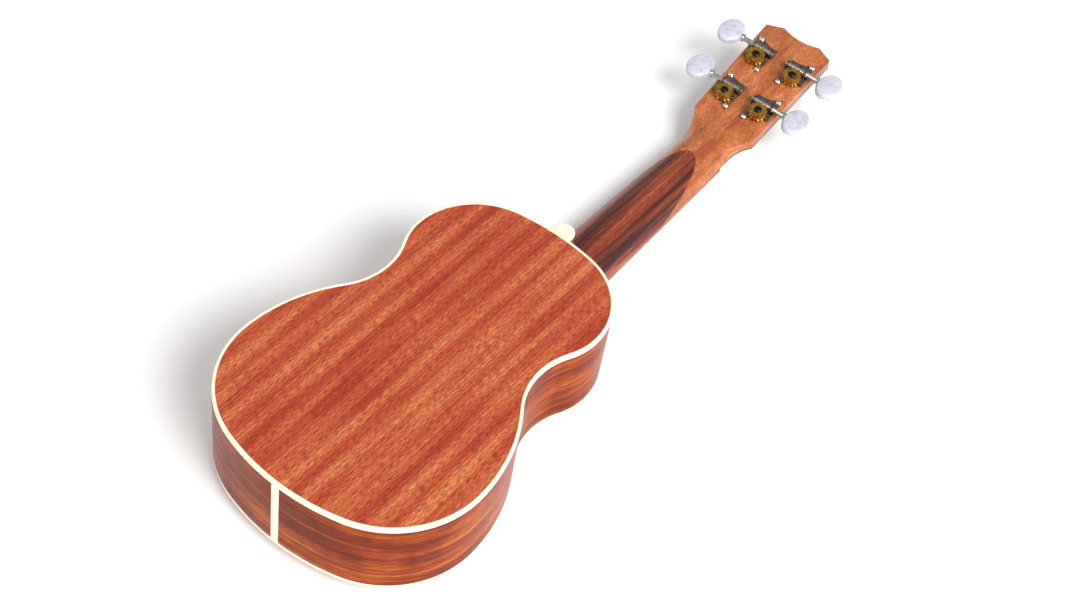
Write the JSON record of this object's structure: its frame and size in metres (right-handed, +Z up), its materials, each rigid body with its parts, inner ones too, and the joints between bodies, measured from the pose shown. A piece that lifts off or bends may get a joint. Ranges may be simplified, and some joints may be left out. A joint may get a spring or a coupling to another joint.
{
  "type": "ukulele",
  "caption": "Soprano ukulele with a figure-eight body, bound edges, spliced neck, open-gear tuners and taut strings, lying face down.",
  "frame": {"origin": "under the middle of the overall length, on the middle line, on the plane it rests on when it lies face down", "axes": "+X across the body, to the right as the back is seen with the headstock up; +Y from the tail towards the headstock; +Z up, out of the back"},
  "size_m": [0.1724, 0.5438, 0.0681],
  "materials": {
    "back_wood": "gloss",
    "front_wood": "satin",
    "side_wood": "gloss",
    "neck_wood": "satin",
    "headstock_wood": "satin",
    "dark_wood": "satin",
    "board_wood": "satin",
    "pale_wood": "matte",
    "cream_plastic": "gloss",
    "pearl": "gloss",
    "bone": "satin",
    "string": "gloss",
    "nickel": "polished",
    "plate_metal": "polished",
    "fret_metal": "polished",
    "brass": "polished",
    "black_metal": "satin"
  },
  "bodies": {
    "ukulele": {"back_plate": "back_wood", "soundboard": "front_wood", "rosette": "cream_plastic", "rib_right": "side_wood", "rib_left": "side_wood", "tail_strip": "cream_plastic", "back_binding": "cream_plastic", "front_binding": "cream_plastic", "linings": "pale_wood", "neck_block": "pale_wood", "tail_block": "pale_wood", "back_braces": "pale_wood", "soundboard_braces": "pale_wood", "bridge_plate": "pale_wood", "neck_shaft": "neck_wood", "heel": "neck_wood", "heel_cap": "cream_plastic", "heel_dowels": "pale_wood", "headstock": "headstock_wood", "headstock_veneer": "dark_wood", "fretboard": "board_wood", "frets": "fret_metal", "fret_dots": "pearl", "nut": "bone", "bridge": "dark_wood", "saddle": "bone", "post_bushings": "nickel", "tuner_screws": "nickel", "string_fourth": "string", "string_third": "string", "string_second": "string", "string_first": "string", "tuner_fourth_plate": "plate_metal", "tuner_third_plate": "plate_metal", "tuner_second_plate": "plate_metal", "tuner_first_plate": "plate_metal"},
    "tuner_fourth_key": {"tuner_fourth_worm": "nickel", "tuner_fourth_button": "pearl"},
    "tuner_fourth_roller": {"tuner_fourth_gear": "brass", "tuner_fourth_gear_screw": "black_metal", "tuner_fourth_post": "nickel", "tuner_fourth_winding": "string"},
    "tuner_third_key": {"tuner_third_worm": "nickel", "tuner_third_button": "pearl"},
    "tuner_third_roller": {"tuner_third_gear": "brass", "tuner_third_gear_screw": "black_metal", "tuner_third_post": "nickel", "tuner_third_winding": "string"},
    "tuner_second_key": {"tuner_second_worm": "nickel", "tuner_second_button": "pearl"},
    "tuner_second_roller": {"tuner_second_gear": "brass", "tuner_second_gear_screw": "black_metal", "tuner_second_post": "nickel", "tuner_second_winding": "string"},
    "tuner_first_key": {"tuner_first_worm": "nickel", "tuner_first_button": "pearl"},
    "tuner_first_roller": {"tuner_first_gear": "brass", "tuner_first_gear_screw": "black_metal", "tuner_first_post": "nickel", "tuner_first_winding": "string"}
  },
  "joints": [
    {"name": "tuner_fourth_turn", "type": "hinge", "parent": "ukulele", "child": "tuner_fourth_key", "pos_m": [0.029, 0.20213, 0.03265], "axis": [1, 0, 0], "continuous": true},
    {"name": "tuner_fourth_wind", "type": "hinge", "parent": "ukulele", "child": "tuner_fourth_roller", "pos_m": [0.014, 0.19605, 0.02285], "axis": [0, -0.1977, 0.9803], "continuous": true},
    {"name": "tuner_third_turn", "type": "hinge", "parent": "ukulele", "child": "tuner_third_key", "pos_m": [0.0302, 0.24134, 0.04055], "axis": [1, 0, 0], "continuous": true},
    {"name": "tuner_third_wind", "type": "hinge", "parent": "ukulele", "child": "tuner_third_roller", "pos_m": [0.0152, 0.23526, 0.03076], "axis": [0, -0.1977, 0.9803], "continuous": true},
    {"name": "tuner_second_turn", "type": "hinge", "parent": "ukulele", "child": "tuner_second_key", "pos_m": [-0.0302, 0.24134, 0.04055], "axis": [1, 0, 0], "continuous": true},
    {"name": "tuner_second_wind", "type": "hinge", "parent": "ukulele", "child": "tuner_second_roller", "pos_m": [-0.0152, 0.23526, 0.03076], "axis": [0, -0.1977, 0.9803], "continuous": true},
    {"name": "tuner_first_turn", "type": "hinge", "parent": "ukulele", "child": "tuner_first_key", "pos_m": [-0.029, 0.20213, 0.03265], "axis": [1, 0, 0], "continuous": true},
    {"name": "tuner_first_wind", "type": "hinge", "parent": "ukulele", "child": "tuner_first_roller", "pos_m": [-0.014, 0.19605, 0.02285], "axis": [0, -0.1977, 0.9803], "continuous": true}
  ],
  "couplings": [
    {"joint": "tuner_fourth_wind", "follows": "tuner_fourth_turn", "ratio": 0.071429},
    {"joint": "tuner_third_wind", "follows": "tuner_third_turn", "ratio": 0.071429},
    {"joint": "tuner_second_wind", "follows": "tuner_second_turn", "ratio": 0.071429},
    {"joint": "tuner_first_wind", "follows": "tuner_first_turn", "ratio": 0.071429}
  ]
}
